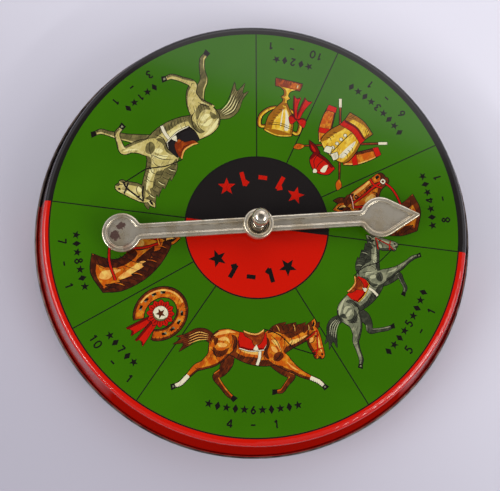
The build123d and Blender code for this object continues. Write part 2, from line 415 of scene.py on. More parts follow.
def smooth(points, closed=False, steps=6):
    """A curve through the points. A point with a third value is a sharp corner."""
    places = [np.array(point[:2], float) for point in points]
    sharp = [len(point) > 2 for point in points]
    count = len(places)
    curve = []
    for i in range(count if closed else count - 1):
        j = (i + 1) % count
        a, b = places[i], places[j]
        before = a if sharp[i] or (i == 0 and not closed) else places[i - 1]
        after = b if sharp[j] or (j == count - 1 and not closed) else places[(j + 1) % count]
        span = hypot(*(b - a))
        start = b - a if before is a else (b - before) / 2
        end = b - a if after is b else (after - a) / 2
        start = start * min(1.0, span / max(hypot(*start), 1e-9))
        end = end * min(1.0, span / max(hypot(*end), 1e-9))
        for k in range(steps):
            t = k / steps
            curve.append(
                (2 * t**3 - 3 * t**2 + 1) * a
                + (t**3 - 2 * t**2 + t) * start
                + (3 * t**2 - 2 * t**3) * b
                + (t**3 - t**2) * end
            )
    if not closed:
        curve.append(places[-1])
    return np.array(curve)


def shape(*points, steps=6):
    return smooth(points, True, steps)


def sides(curve, closed):
    """Unit vectors square to a curve, to the right of its run."""
    along = np.roll(curve, -1, 0) - np.roll(curve, 1, 0) if closed else np.gradient(curve, axis=0)
    along /= np.maximum(np.hypot(along[:, 0], along[:, 1]), 1e-9)[:, None]
    return np.stack([along[:, 1], -along[:, 0]], 1)


def outward(curve):
    x, y = curve.T
    area = np.sum(x * np.roll(y, -1) - np.roll(x, -1) * y)
    return sides(curve, True) * (1 if area > 0 else -1)


def limb(*points, steps=6):
    """The outline round a centre line of (x, y, width) points."""
    centre = smooth([point[:2] for point in points], steps=steps)
    stations = np.arange(len(points)) * steps
    width = np.interp(np.arange(len(centre)), stations, [point[2] for point in points])
    reach = sides(centre, False) * width[:, None] / 2
    return np.concatenate([centre + reach, (centre - reach)[::-1]])


def pen(points, width, taper=0.15, steps=5):
    """A pen line that thins to taper of its width at both ends."""
    centre = smooth(points, steps=steps)
    swell = taper + (1 - taper) * np.sin(pi * np.linspace(0, 1, len(centre))) ** 0.6
    reach = sides(centre, False) * width / 2 * swell[:, None]
    return np.concatenate([centre + reach, (centre - reach)[::-1]])


def shrunk(outline, share):
    middle = outline.mean(0)
    return middle + (outline - middle) * share


def inside(point, outline):
    x, y = point
    px, py = outline.T
    qx, qy = np.roll(px, -1), np.roll(py, -1)
    crossing = (py > y) != (qy > y)
    reach = px + (y - py) * (qx - px) / np.where(crossing, qy - py, 1.0)
    return np.count_nonzero(crossing & (x < reach)) % 2 == 1


class Drawing:
    """Shapes in the order they are printed: a later one covers an earlier one."""

    def __init__(self):
        self.shapes = []

    def add(self, colour, outline):
        self.shapes.append((colour, np.asarray(outline, float)))

    def edge(self, width, *outlines):
        """A black line round the silhouette of several shapes together."""
        for outline in outlines:
            self.add("line", outline + outward(outline) * width * 0.75)

    def filled(self, colour, outline, width=0.4):
        self.edge(width, outline)
        self.add(colour, outline)
        return outline

    def band(self, colour, outline, toward, width, low=0.0):
        """A tone along the parts of an outline that face the direction toward, in degrees."""
        out = outward(outline)
        facing = out @ np.array([cos(radians(toward)), sin(radians(toward))])
        depth = width * np.clip((facing - low) / (1 - low), 0, 1) ** 0.7
        count = len(outline)
        start = int(np.argmin(depth))
        run = []
        for k in range(start, start + count + 1):
            i = k % count
            if depth[i] > 0.02 * width:
                run.append(i)
                continue
            if len(run) > 2:
                inner = (outline - out * depth[:, None])[run]
                self.add(colour, np.concatenate([outline[run], inner[::-1]]))
            run = []

    def hatch(self, outline, toward, reach, pitch, width, low=0.2, lean=25):
        """Short pen lines that run in from an outline where it faces the direction toward."""
        out = outward(outline)
        ahead = np.roll(outline, -1, 0)
        spans = np.hypot(*(ahead - outline).T)
        stations = np.concatenate([[0], np.cumsum(spans)])
        aim = np.array([cos(radians(toward)), sin(radians(toward))])
        turn = radians(lean)
        for k, station in enumerate(np.arange(pitch / 2, stations[-1], pitch)):
            i = int(np.searchsorted(stations, station) - 1)
            root = outline[i] + (ahead[i] - outline[i]) * (station - stations[i]) / max(spans[i], 1e-9)
            facing = out[i] @ aim
            if facing <= low:
                continue
            length = reach * (0.45 + 0.55 * (facing - low) / (1 - low)) * (1.0 if k % 2 else 0.7)
            x, y = out[i]
            run = -np.array([x * cos(turn) - y * sin(turn), x * sin(turn) + y * cos(turn)])
            tip = root + run * length
            if inside(tip, outline):
                half = np.array([-run[1], run[0]]) * width / 2
                self.add("line", [root + half, tip, root - half])

    def pens(self, *lines, colour="line"):
        """Pen lines, each given as its width and its points."""
        for width, *points in lines:
            self.add(colour, pen(points, width))

    def placed(self, radius, angle, scale=1.0, mirror=False, bend=0.0):
        """The shapes on the dial: feet towards the rim, at a radius and an angle in degrees."""
        turn = radians(angle + 90)
        turned = np.array([[cos(turn), -sin(turn)], [sin(turn), cos(turn)]])
        middle = np.array([radius * cos(radians(angle)), radius * sin(radians(angle))])
        flip = np.array([-1.0 if mirror else 1.0, 1.0])
        return [
            (colour, middle + (lowered(outline, bend) * flip * scale) @ turned.T)
            for colour, outline in self.shapes
        ]


def lowered(outline, bend):
    """Turns a horse's neck and head down about its withers, by bend degrees at the head."""
    if not bend:
        return outline
    x, y = outline.T
    share = np.clip((x - 9) / 18, 0, 1) * np.clip((y + 3) / 8, 0, 1)
    share = share * share * (3 - 2 * share)
    turn = -np.radians(bend) * share
    dx, dy = x - 12, y - 5
    across, up = dx * np.cos(turn) - dy * np.sin(turn), dx * np.sin(turn) + dy * np.cos(turn)
    return np.stack([12 + across, 5 + up], 1)


BAY = ("bay", "bay_dark", "bay_pale")
CREAM = ("cream", "cream_dark", "cream_pale")
GREY = ("grey", "grey_dark", "grey_pale")

GALLOP = {
    "near_fore": ((16.5, -1, 12), (22.5, -6.5, 8), (28.5, -10.2, 4.8), (33, -12.6, 3.8), (38.5, -14.6, 2.5),
                  (43.8, -16.6, 2.5), (47, -19, 2)),
    "far_fore": ((14.5, -4, 9), (19.5, -9.5, 6), (24.8, -13.2, 4), (27.2, -14.6, 3.6), (24.2, -19.2, 2.4),
                 (21.4, -23.4, 2.5), (18, -24.2, 1.9)),
    "near_hind": ((-18, 1, 15), (-21.5, -6, 9.5), (-27.5, -10.6, 5.2), (-32, -12.6, 4),
                  (-36.5, -17.6, 2.6), (-40.8, -22.6, 2.7), (-44.2, -24.2, 2.1)),
    "far_hind": ((-16, -2, 12), (-13.5, -8, 8), (-15.8, -14, 4.8), (-19.6, -17.4, 3.9),
                 (-15.8, -22.6, 2.5), (-11.6, -27.2, 2.6), (-8.8, -29.2, 2.1)),
}
CANTER = {
    "near_fore": ((16.5, -1, 12), (21.5, -6.5, 8), (26.5, -9.4, 4.8), (30.6, -11, 3.8), (29.2, -16.6, 2.5),
                  (27, -21, 2.5), (23.6, -22, 2)),
    "far_fore": ((14.5, -4, 9), (19, -9.5, 6), (24, -15.2, 4), (27.2, -19, 3.6), (30.6, -23.6, 2.4),
                 (33.4, -27.4, 2.5), (36.4, -28.4, 1.9)),
    "near_hind": ((-18, 1, 15), (-17.5, -7, 9.5), (-19.8, -13.6, 5.2), (-23.8, -17.4, 4),
                  (-20.8, -23.4, 2.6), (-17.4, -28.2, 2.7), (-14.2, -29.4, 2.1)),
    "far_hind": ((-17, -2, 12), (-20, -8.6, 8), (-25.6, -12.6, 4.8), (-30.4, -15.4, 3.9),
                 (-33.6, -21, 2.5), (-37.4, -25.6, 2.6), (-40.6, -26.6, 2.1)),
}


def hoof(leg):
    """The wedge at the end of a leg, in line with its pastern."""
    start, end = np.array(leg[-2][:2], float), np.array(leg[-1][:2], float)
    run = (end - start) / hypot(*(end - start))
    half = np.array([-run[1], run[0]]) * leg[-1][2] / 2
    top = end - run * 0.3
    toe, heel = end + half * 1.5 + run * 2.6, end - half * 1.5 + run * 2.0
    return np.array([top - half * 1.05, top + half * 1.05, toe, heel])


def horse(coat, gait, rug=("red", "red_dark", "yellow"), strap="red", socks=None):
    """A saddled racehorse without a rider, facing right."""
    base, dark, pale = coat
    work = Drawing()
    for name in ("far_fore", "far_hind"):
        leg = limb(*gait[name])
        work.edge(0.55, leg, hoof(gait[name]))
        work.add(dark, leg)
        work.band(base, leg, 80, 1, 0.2)
        work.add("line", hoof(gait[name]))
    work.filled(dark, shape((32.4, 26.2, 1), (32.6, 29.2), (34, 31, 1), (34.8, 28.4), (34.6, 25.8, 1)))
    work.filled(dark, shape(
        (-23.2, 8.6, 1), (-28, 11.2), (-34, 11), (-40, 7.4), (-46, 5.6, 1), (-42.6, 4.4), (-47.5, 0.6, 1),
        (-41, 1.4), (-43.4, -3.6, 1), (-37.4, 0.4), (-33, 4.2), (-28.6, 4.8), (-24.6, 2.6, 1),
    ))
    for k in range(7):
        t = k / 6
        hair = (-24.5, 7.6 - 4 * t), (-31, 9.8 - 6.5 * t), (-38, 7 - 7 * t), (-44 + 2 * t, 4.8 - 6.8 * t)
        work.pens((0.32, *hair))
    for k in range(4):
        t = 0.1 + k / 4
        work.pens((0.5, (-26, 8.4 - 4 * t), (-32, 9.6 - 6.5 * t), (-38, 6.8 - 6.5 * t)), colour=pale)

    body = shape(
        (-24.5, 2), (-23.6, 7), (-20, 10.6), (-14, 11.8), (-7, 10.4), (0, 8.6), (6, 9.2),
        (11, 11.4), (16, 9.5),
        (20.5, 5), (22.3, 0.5), (21, -4.2), (16.5, -7.8), (9, -9.2), (1, -8.6), (-6, -6.4), (-12, -3.6),
        (-17, -4.5), (-22, -3.5),
    )
    neck = shape(
        (9, 11.2), (15, 14.2), (21, 18.6), (26.5, 23.2), (31, 26), (34.6, 25.2), (33.4, 19.5), (30.2, 14.5),
        (27, 10), (24.2, 5), (22, -0.5), (14, 0), (8, 5),
    )
    face = shape(
        (30.2, 26.2), (33, 27), (36, 25.6), (39.4, 22.2), (42.6, 18.4), (45, 15.6), (46.1, 13.4),
        (45.4, 11.6),
        (43.4, 11), (42.4, 10), (40.8, 10.2), (39.4, 11.8), (36.6, 13.4), (33.8, 15.4), (31.4, 18.6),
        (29.8, 22),
    )
    ear = shape((30.4, 25.8, 1), (29.4, 28.8), (30.2, 31.4, 1), (32.2, 29.2), (32.8, 26.4, 1))
    legs = [limb(*gait[name]) for name in ("near_fore", "near_hind")]
    hooves = [hoof(gait[name]) for name in ("near_fore", "near_hind")]
    work.edge(0.6, ear, body, neck, face, *legs, *hooves)
    for outline in (body, neck, face, ear, *legs):
        work.add(base, outline)
    work.band(dark, body, -80, 3.6, -0.1)
    work.band(dark, body, 190, 2.6, 0.2)
    work.band(dark, neck, -60, 2.6, 0.1)
    work.band(dark, face, -125, 1.7, 0.1)
    for outline in legs:
        work.band(dark, outline, 260, 1.3, 0.1)
    if socks:
        for name in ("near_fore", "near_hind"):
            work.add(socks, limb(*[(x, y, width * 0.96) for x, y, width in gait[name][-3:]]))
    work.add(base, shape((-24, 3), (-19, 9), (-11, 6), (-10, -1), (-16, -4.6), (-20.4, -6.6), (-23.4, -2)))
    work.add(base, shape((10, 7), (18, 8), (21.6, 2), (23.6, -5), (19, -8.4), (13, -6), (8, 0)))
    darks = (
        ((-22.4, 0.6), (-19.6, -1.4), (-16.2, -1.2), (-12.8, 0.6), (-14.6, -3.4), (-19.2, -5.6),
         (-22.2, -3.6)),
        ((-11.8, 8.6), (-10.2, 5), (-10.6, 0.6), (-8.6, -2.6), (-7.6, 2.6), (-8.6, 7.4)),
        ((-22.8, 5.4), (-21, 6.6), (-19.6, 4.6), (-21.4, 1.6)),
        ((10.8, 8.2), (12.4, 4.2), (11.2, -0.4), (12.4, -4.8), (9.6, -3.4), (9.2, 1.8), (9.6, 6.4)),
        ((15.6, -1.6), (19.8, 0.6), (21.4, -2.6), (18.4, -5.8), (15.2, -5.2)),
        ((19, 13.4), (23.2, 17.4), (27.4, 21.8), (25.6, 17.4), (22.2, 12.6)),
        ((-3.4, -4.6), (1.8, -4.2), (7.4, -5.4), (4.4, -7.6), (-1.8, -6.8)),
    )
    for points in darks:
        work.add(dark, shape(*points))
    pales = (
        ((-22.6, 7.4), (-19, 10.2), (-13.6, 11.2), (-9.2, 10.2), (-13, 9.6), (-18.4, 8.2)),
        ((-19.8, 5.4), (-16.4, 7.2), (-13.6, 6.2), (-12.6, 3.4), (-14.6, 4.8), (-17.4, 4.6)),
        ((-20.2, 2.8), (-17.4, 3.4), (-14, 2.4), (-15.6, 0.8), (-18.6, 0.8)),
        ((13, 6.8), (16.4, 7.4), (19.4, 4.4), (19.8, 1.4), (17.6, 3.8), (14.8, 5)),
        ((13.4, 2.8), (15.8, 3), (17.6, 0.8), (16.2, -0.6), (14.2, 0.6)),
        ((23.6, 12.4), (27.6, 16.8), (31, 20.6), (29.2, 16.6), (25.8, 11.4), (23.6, 9.2)),
        ((34.2, 24.8), (37.6, 22.2), (41.2, 18), (43.8, 15), (40.4, 17.2), (36.6, 21.2)),
        ((33.2, 19.2), (34.6, 20.4), (35.4, 18.4), (34.2, 16.8)),
        ((-5.6, -0.6), (-1.2, 0.2), (4.2, -0.4), (7.4, -1.6), (4.2, -2.8), (-1, -2.2)),
        ((23.4, -5.8), (27.4, -8.4), (31, -10.6), (27.2, -9.6)),
    )
    for points in pales:
        work.add(pale, shape(*points))
    work.pens(
        (0.55, (-9.4, 8.6), (-8.4, 3.2), (-11, -2.2), (-15.2, -4.2)),
        (0.35, (-11.4, 8.2), (-10.8, 4), (-13, -0.6)),
        (0.5, (-24, -0.5), (-21.4, -3.2), (-19.4, -7.2)),
        (0.55, (9.2, 9.6), (10.6, 4), (9, -2.6), (11.2, -7.4)),
        (0.5, (12.2, 10), (17.6, 5.8), (20.4, 0.6)),
        (0.3, (12.4, 8), (16.4, 4.4), (18.6, 0.2)),
        (0.4, (20.8, 2.6), (18.6, -3.2), (15.2, -6.2)),
        (0.35, (20.6, 15.2), (24.2, 12.4), (24.2, 7.2)),
        (0.35, (24.2, 18.6), (27.6, 16.2), (28.4, 12.8)),
        (0.35, (16.4, 12), (20.4, 9.6), (21.8, 5)),
        (0.4, (33.2, 16.4), (35.6, 17.6), (36, 20.6), (34, 22.6)),
        (0.25, (38.2, 13.2), (40.6, 15.2), (43, 15.4)),
        (0.3, (-5.6, 6), (-4.8, 1.4), (-6.4, -3.4)),
        (0.25, (-3.2, 5.4), (-2.4, 1.4), (-3.6, -3.6)),
        (0.25, (3.4, -2.6), (2.6, -5.4), (-1, -7.2)),
        (0.25, (6, -3), (5.6, -6), (2.6, -7.8)),
        (0.3, (34.8, 23.4), (36.4, 24), (37.8, 22.8)),
        (0.35, (45.2, 11.6), (43, 12), (41.2, 12.8)),
    )
    for k in range(9):
        x, y = -8 + k * 1.9, -6.2 - k * 0.28
        work.pens((0.26, (x, y), (x + 1, y + 1.6), (x + 1.4, y + 3.6)))
    for k in range(6):
        x, y = -22.6 + k * 1.3, -4.6 - k * 0.5
        work.pens((0.26, (x, y), (x + 1, y + 2), (x + 1.6, y + 3.8)))
        x, y = 23.0 + k * 1.5, 3.4 + k * 2.2
        work.pens((0.26, (x, y), (x - 1.4, y + 1.2), (x - 2.2, y + 3)))
    for outline in legs:
        work.hatch(outline, 255, 1.6, 1.3, 0.26, low=0.3)
    for name, foot in zip(("near_fore", "near_hind"), hooves):
        x, y = gait[name][3][:2]
        work.pens((0.3, (x - 1.2, y + 0.4), (x, y - 0.6), (x + 1.2, y + 0.2)))
        work.add("line", foot)
        work.add("grey", shrunk(foot, 0.45))
    work.add("line", shape((35.2, 22.2), (36.4, 22.9), (37.4, 22.2), (36.4, 21.5), steps=4))
    work.add("line", shape((43.6, 14.6), (44.8, 14.6), (44.9, 13.5), (44, 13.5), steps=4))
    inner_ear = shape((30.9, 26.6, 1), (30.4, 28.6), (30.6, 30.2, 1), (31.6, 28.6), (32, 26.8, 1), steps=4)
    work.add("line", inner_ear)

    work.filled(dark, shape(
        (10.5, 11, 1), (13, 15.4), (18.5, 20.2, 1), (18.2, 18.2), (22.5, 23.4, 1), (22.6, 21.8),
        (26.4, 26.8, 1),
        (26.8, 25), (29.2, 29.2, 1), (30.6, 26.8), (33.2, 24.8, 1), (29.6, 23.8), (28.6, 20.6, 1),
        (26.4, 20.4),
        (24, 16.6, 1), (21.6, 16.2), (18.4, 12.6, 1), (15.4, 12.6),
    ), 0.3)
    for k in range(9):
        x, y = 12.5 + 2.3 * k, 12.6 + 1.65 * k
        work.pens((0.32, (x - 0.8, y + 1.8), (x + 0.6, y + 0.4), (x + 1.6, y - 1.8)))
        if k % 3 == 1:
            work.pens((0.4, (x - 0.2, y + 2.2), (x + 1, y + 0.8), (x + 1.8, y - 1)), colour=pale)

    straps = (
        ((31.6, 17.6), (33.6, 21.6), (34.8, 25.8)),
        ((34.8, 25.8), (37.6, 20.6), (40.4, 15.2), (41, 11)),
        ((38.4, 12.6), (40.8, 15.6), (43, 17.6)),
    )
    for points in straps:
        work.add("line", pen(points, 0.95, taper=0.9))
    for points in straps:
        work.add(strap, pen(points, 0.6, taper=0.9))
    work.add("line", pen(((41, 12), (34, 10.6), (26, 9.4), (18, 11), (8, 13.4)), 0.7, taper=0.8))
    work.filled("ivory", limb((5, 8, 1.7), (6.2, 2, 1.7), (6.4, -4, 1.7), (5.2, -9, 1.7)), 0.3)
    cloth = work.filled(rug[0], shape(
        (-6.4, 10.6, 1), (0.6, 9.4), (9.6, 10.8, 1), (10.4, 4.4), (8.8, 0.2, 1), (0.6, -1), (-6.6, 0.4, 1),
        (-7.4, 5.4),
    ))
    work.band(rug[1], cloth, -100, 1.8, 0.1)
    work.band(rug[2], cloth, -90, 0.55, 0.2)
    saddle = work.filled("chestnut", shape(
        (-4.6, 11.8, 1), (-1, 10.6), (4, 10.4), (8.2, 13.2, 1), (8.4, 9.4), (6.4, 4.4), (2.8, 3), (0.8, 6.4),
        (-3.4, 8.6),
    ))
    work.band("bay_pale", saddle, 100, 0.9, 0.3)
    work.pens((0.3, (-0.6, 9.2), (2.4, 8.4), (5.4, 9)))
    work.filled("ivory", shape((4, 3.6, 1), (5.4, 0.4), (2.4, 0.4)), 0.25)
    return work


def horse_head(coat, strap="red", band="ivory"):
    """A horse's head and neck in its bridle, facing right."""
    base, dark, pale = coat
    work = Drawing()
    far_ear = shape((4.6, 16.6, 1), (5.4, 21.2), (8, 24.2, 1), (9, 20.4), (8, 15.8, 1))
    ear = shape((0.6, 15.6, 1), (0.2, 20.6), (2.6, 25.4, 1), (5.6, 21.4), (5.6, 16.6, 1))
    face = shape(
        (-17.5, -21, 1), (-16.4, -10), (-12.4, 1), (-6.2, 10.4), (0.6, 16.6), (4.4, 17.8), (8.2, 16.2),
        (11.2, 11.8), (14.4, 5.4), (17.4, -0.4), (19.4, -4), (19.8, -6.6), (18.4, -8.4), (16.8, -8.9),
        (16.2, -10.2), (14.2, -10.4), (12.4, -8.8), (10.4, -5.6), (7, -3.2), (2.8, -2.8), (-0.4, -6),
        (-1.6, -11), (0.4, -17), (4.2, -23, 1), (-6, -25.4),
    )
    work.edge(0.6, far_ear, face, ear)
    work.add(dark, far_ear)
    work.add(base, face)
    work.add(base, ear)
    work.band(dark, face, -60, 3.2, 0.25)
    work.band(dark, face, 190, 2.4, 0.3)
    tones = (
        (dark, (-0.4, -6), (3.4, -2.8), (-0.6, 1), (-4.6, -4), (-6, -12), (-3.6, -19), (0.2, -24),
         (3.6, -22), (0.2, -16.6), (-1.6, -11)),
        (dark, (11.6, 4.4), (13.8, -0.2), (14.8, -4.2), (12.6, -4.4), (10.8, -1.2), (10, 2.4)),
        (dark, (-6.4, 5.6), (-2.4, 9.4), (1, 10.4), (-1.4, 4.4), (-4.6, -0.6), (-6, 1.6)),
        (pale, (-10.2, -0.8), (-6.6, 4.6), (-5.4, 2), (-7.6, -3.6), (-11.4, -11.6), (-12.6, -8.6)),
        (pale, (-9.4, -13.6), (-7.6, -9.4), (-6.8, -13.4), (-6.4, -19.6), (-9.6, -21.4), (-11.2, -17.4)),
        (pale, (8.4, 15.2), (10.8, 11.4), (14, 5.2), (16.8, -0.2), (14.2, 2.2), (11.4, 6.4), (9.4, 10.8)),
        (pale, (3.6, 5.6), (6.4, 4.6), (8.2, 0.8), (6.6, -1), (3.4, -0.4), (2.2, 2.8)),
        (pale, (12.2, 0.6), (13.6, -1.4), (14, -3.4), (12.6, -2.6)),
        ("line", (1.6, 16.6, 1), (1.4, 20.4), (2.8, 23.4, 1), (4.4, 20.8), (4.2, 17.2, 1)),
        (pale, (3, 17.4, 1), (3.2, 20), (3, 22.2, 1), (4.2, 20.2), (4.4, 17.4, 1)),
    )
    for colour, *points in tones:
        work.add(colour, shape(*points))
    work.pens(
        (0.45, (1, 8.4), (0.8, 2.6), (3, -2.2), (6.8, -2.8)),
        (0.4, (9.6, 0.8), (8.2, -1.8), (6.8, -2.8)),
        (0.4, (-0.6, -6.2), (-4.6, -2.2), (-7.4, 4.6)),
        (0.35, (-2, -11), (-5.4, -8), (-9.4, -1.2)),
        (0.35, (0.2, -17), (-3.8, -15), (-7.2, -9.6)),
        (0.35, (2.4, -21), (-2.4, -20), (-5.8, -15.6)),
        (0.3, (10.6, 7.6), (12.6, 3.6), (14.8, 0.2)),
        (0.3, (9.2, 6.6), (11.2, 2.2), (13, -2.6)),
        (0.4, (17.8, -8.4), (15.6, -7.6), (13.8, -6.4)),
        (0.3, (16.6, -1.6), (17.6, -0.6), (18.4, -2)),
        (0.25, (12.6, -8.6), (13.4, -7.2), (14.8, -6.8)),
        (0.4, (5.6, 11.8), (7.6, 13), (9.8, 11.4)),
    )
    for k in range(8):
        x, y = 2.6 - 0.57 * k, -3.6 - 2.4 * k
        work.pens((0.3, (x - 1, y - 0.4), (x - 2.6, y + 0.6), (x - 3.8, y + 2.8)))
    for k in range(5):
        work.pens((0.26, (3.4 + k * 1.3, -2.4), (3.6 + k * 1.25, -0.9), (4.2 + k * 1.2, 0.4)))
        x, y = 7.6 + k * 1.2, 7.2 - k * 1.9
        work.pens((0.24, (x, y), (x + 1.2, y - 0.2), (x + 2.2, y + 0.4)))
    work.add("line", shape((6.2, 10.2), (7.6, 11.6), (9.4, 10.6), (8, 9.2), steps=4))
    work.add("chestnut", shape((7.2, 10.4), (7.9, 11), (8.6, 10.4), (7.9, 9.8), steps=4))
    work.add("ivory", shape((7.9, 10.9), (8.3, 10.8), (8.1, 10.5), steps=3))
    work.add("line", shape((16.6, -3.4), (18.2, -3.2), (18.6, -5), (17.4, -5.4), steps=4))
    work.filled(dark, shape(
        (-17.6, -20.6, 1), (-18.8, -11), (-15.6, 1.4), (-9.4, 11.4), (-1.4, 18.8), (2.2, 19.6),
        (2.6, 16.2, 1),
        (-1.4, 13.4), (-2, 8, 1), (-4.8, 8.6), (-7.2, 2.4, 1), (-8.8, 3.2), (-11.4, -4.4, 1),
        (-12.2, -3), (-13.4, -11.4, 1), (-14.4, -9.8), (-14, -19.4, 1), (-15.6, -17),
    ), 0.5)
    for k in range(12):
        x = np.interp(k / 11 * 4, range(5), (-17.6, -15.6, -11, -5.6, 0.6))
        y = np.interp(k / 11 * 4, range(5), (-13.6, -3.6, 5.4, 12.6, 18))
        work.pens((0.34, (x - 0.6, y + 1), (x + 1.2, y - 1.2), (x + 2.2, y - 5)))
        if k % 3 == 1:
            work.pens((0.45, (x + 0.4, y + 0.8), (x + 1.8, y - 1.2), (x + 2.8, y - 4)), colour=base)
    work.filled(dark, shape(
        (2.8, 17.2, 1), (6.4, 18.4), (9.6, 15.8), (10.2, 11.4, 1), (7.6, 13.8), (5.2, 13.6, 1), (4.4, 15.4),
    ), 0.3)
    work.pens((0.3, (4.4, 17.2), (7.2, 16.2), (9.2, 13.2)))
    straps = (
        ((1.2, 13.4), (5.4, 13.2), (9.6, 13.6)), ((4.4, 13.4), (8.4, 5.4), (12.8, -2), (14.6, -6.6)),
        ((2.2, 13.2), (1.6, 5.4), (2.8, -2.6)), ((11, -5.4), (13.2, -1.6), (17.2, 0.4)),
        ((14.6, -7.2), (8.4, -12), (-1.4, -14.6), (-12.6, -13.4)),
    )
    for points in straps:
        work.add("line", pen(points, 1.8, taper=0.95))
    for points in straps:
        work.add(strap, pen(points, 1.05, taper=0.95))
    work.add(band, pen(((1.4, 13.4), (5.4, 13.2), (9.4, 13.6)), 0.4, taper=0.9))
    ring = work.filled(band, shape((13, -7), (14.6, -5.4), (16.2, -7), (14.6, -8.6), steps=5))
    work.add(dark, shrunk(ring, 0.5))
    return work


def cup():
    """A two-handled prize cup on its plinth, with a ribbon on one handle."""
    work = Drawing()
    base, dark, pale = "yellow", "yellow_dark", "ivory"
    for side in (-1, 1):
        handle = [
            (side * 6.6, 13.5), (side * 11.6, 14.4), (side * 12.4, 8.4), (side * 8.6, 3.2), (side * 4, 0.6)
        ]
        work.add("line", pen(handle, 3.2, taper=0.7))
        work.add(dark, pen(handle, 2, taper=0.7))
        work.add(base, pen([(x - 0.3, y + 0.2) for x, y in handle], 1.1, taper=0.6))
    bowl = shape(
        (-8.4, 16.6, 1), (0, 15.8), (8.4, 16.6, 1), (7.6, 7.2), (3.2, -0.6), (1.4, -3.2, 1), (-1.4, -3.2, 1),
        (-3.2, -0.6), (-7.6, 7.2),
    )
    stem = shape(
        (-1.5, -2.8, 1), (1.5, -2.8, 1), (1.2, -5), (2.6, -6.4), (1.3, -8), (2.2, -11), (6.2, -13.2, 1),
        (-6.2, -13.2, 1), (-2.2, -11), (-1.3, -8), (-2.6, -6.4), (-1.2, -5),
    )
    plinth = shape((-7.6, -12.6, 1), (7.6, -12.6, 1), (8.4, -17.4, 1), (-8.4, -17.4, 1))
    mouth = shape((-8.8, 16.2), (0, 18.4), (8.8, 16.2), (0, 14.6))
    work.edge(0.6, bowl, stem, plinth, mouth)
    work.add(base, stem)
    work.add(base, bowl)
    work.add("chestnut", plinth)
    work.add("bay", shape((-6.8, -13.4, 1), (-1.4, -13.4, 1), (-2, -16.8, 1), (-7.4, -16.8, 1)))
    work.add(dark, mouth)
    work.band(base, mouth, 90, 0.7, 0.1)
    work.band(dark, bowl, -20, 4.2, 0)
    work.band(dark, bowl, 200, 1.4, 0.2)
    work.band(dark, stem, 0, 1.4, 0.2)
    work.add(pale, shape((-5.6, 13.6), (-3.6, 13.8), (-2.6, 6.4), (-1.6, 1), (-3.8, 4.2), (-5.6, 9.6)))
    work.pens((0.8, (-0.8, 12.8), (-0.4, 7), (0, 1)), (0.5, (-5.6, -14), (-5.9, -16.2)), colour=pale)
    for k in range(6):
        x, y = 6.9 - k * 0.8, 12.2 - k * 2.0
        work.pens((0.3, (x, y), (x - 1.5, y - 0.6), (x - 2.7, y)))
    for y, width in ((12.6, 0.4), (11.4, 0.3)):
        work.add("line", pen([(-7.8, y), (0, y - 1.2), (7.8, y)], width, taper=0.8))
    ribbons = (
        (-20, (-10.6, 6.6, 1), (-13, -1.6), (-16.4, -7.6, 1), (-13.4, -7.4), (-11.6, -9.4, 1), (-9.8, -1.6),
         (-8.6, 5.4, 1)),
        (-20, (-9.6, 6, 1), (-8.4, -1.2), (-9, -8.6, 1), (-6.6, -7.4), (-4.6, -9, 1), (-5.8, -2),
         (-7.8, 5.4, 1)),
        (-100, (-9.6, 6, 1), (-14.4, 9.8), (-15.2, 5.2), (-12.8, 4)),
        (-100, (-9.6, 6, 1), (-6.6, 9.2), (-4.6, 5.6), (-6.4, 3.6)),
    )
    for shade, *points in ribbons:
        outline = work.filled("red", shape(*points))
        work.band("red_dark", outline, shade, 0.9, 0.2)
    return work


